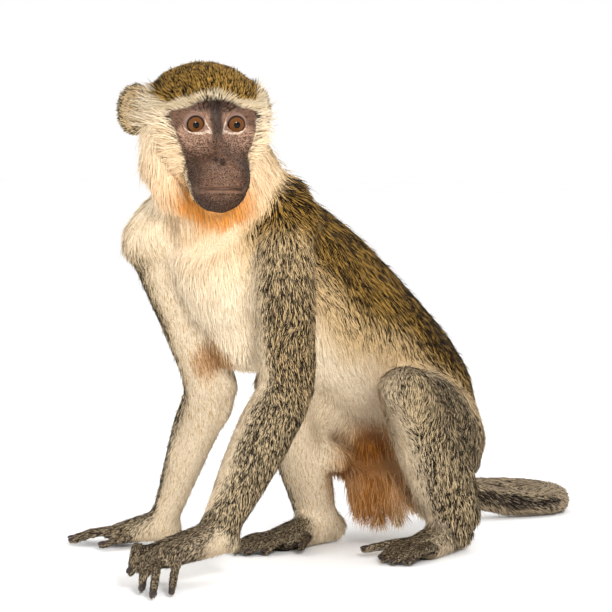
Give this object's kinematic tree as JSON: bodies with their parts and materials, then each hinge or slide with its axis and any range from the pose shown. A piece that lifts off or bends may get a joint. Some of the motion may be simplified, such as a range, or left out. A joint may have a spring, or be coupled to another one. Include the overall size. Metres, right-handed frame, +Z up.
{
  "type": "vervet monkey figure",
  "caption": "Seated monkey leaning on both straight arms, with a dark face, pale cheek ruff, olive-grey coat and a tail curled along the floor.",
  "frame": {"origin": "middle of the model's box at floor level, under the belly", "axes": "+Z up; the hips face -Y and the animal's left side is towards +X; the head is turned to its left"},
  "size_m": [0.328, 0.6872, 0.4129],
  "materials": {
    "fur_olive": "dense grizzled coat, olive brown to tan",
    "fur_grey": "short grizzled grey-brown coat",
    "fur_cream": "long soft cream coat",
    "bare_skin": "dark wrinkled bare skin, matt",
    "eye": "wet amber-brown eye with a black pupil"
  },
  "bodies": {
    "root": {"pelvis": "fur_olive", "abdomen": "fur_olive", "chest": "fur_cream", "head": "bare_skin", "neck": "fur_cream", "eye_left": "eye", "ear_left": "bare_skin", "eye_right": "eye", "ear_right": "bare_skin", "upper_arm_left": "fur_grey", "forearm_left": "fur_grey", "hand_left": "fur_grey", "finger_left_first": "bare_skin", "finger_left_second": "bare_skin", "finger_left_third": "bare_skin", "finger_left_fourth": "bare_skin", "finger_left_fifth": "bare_skin", "thigh_left": "fur_grey", "shank_left": "fur_grey", "foot_left": "fur_grey", "toe_left_first": "bare_skin", "toe_left_second": "bare_skin", "toe_left_third": "bare_skin", "toe_left_fourth": "bare_skin", "toe_left_fifth": "bare_skin", "upper_arm_right": "fur_grey", "forearm_right": "fur_grey", "hand_right": "fur_grey", "finger_right_first": "bare_skin", "finger_right_second": "bare_skin", "finger_right_third": "bare_skin", "finger_right_fourth": "bare_skin", "finger_right_fifth": "bare_skin", "thigh_right": "fur_grey", "shank_right": "fur_grey", "foot_right": "fur_grey", "toe_right_first": "bare_skin", "toe_right_second": "bare_skin", "toe_right_third": "bare_skin", "toe_right_fourth": "bare_skin", "toe_right_fifth": "bare_skin", "tail_1": "fur_grey", "tail_2": "fur_grey", "tail_3": "fur_grey", "tail_4": "fur_grey"}
  },
  "joints": []
}
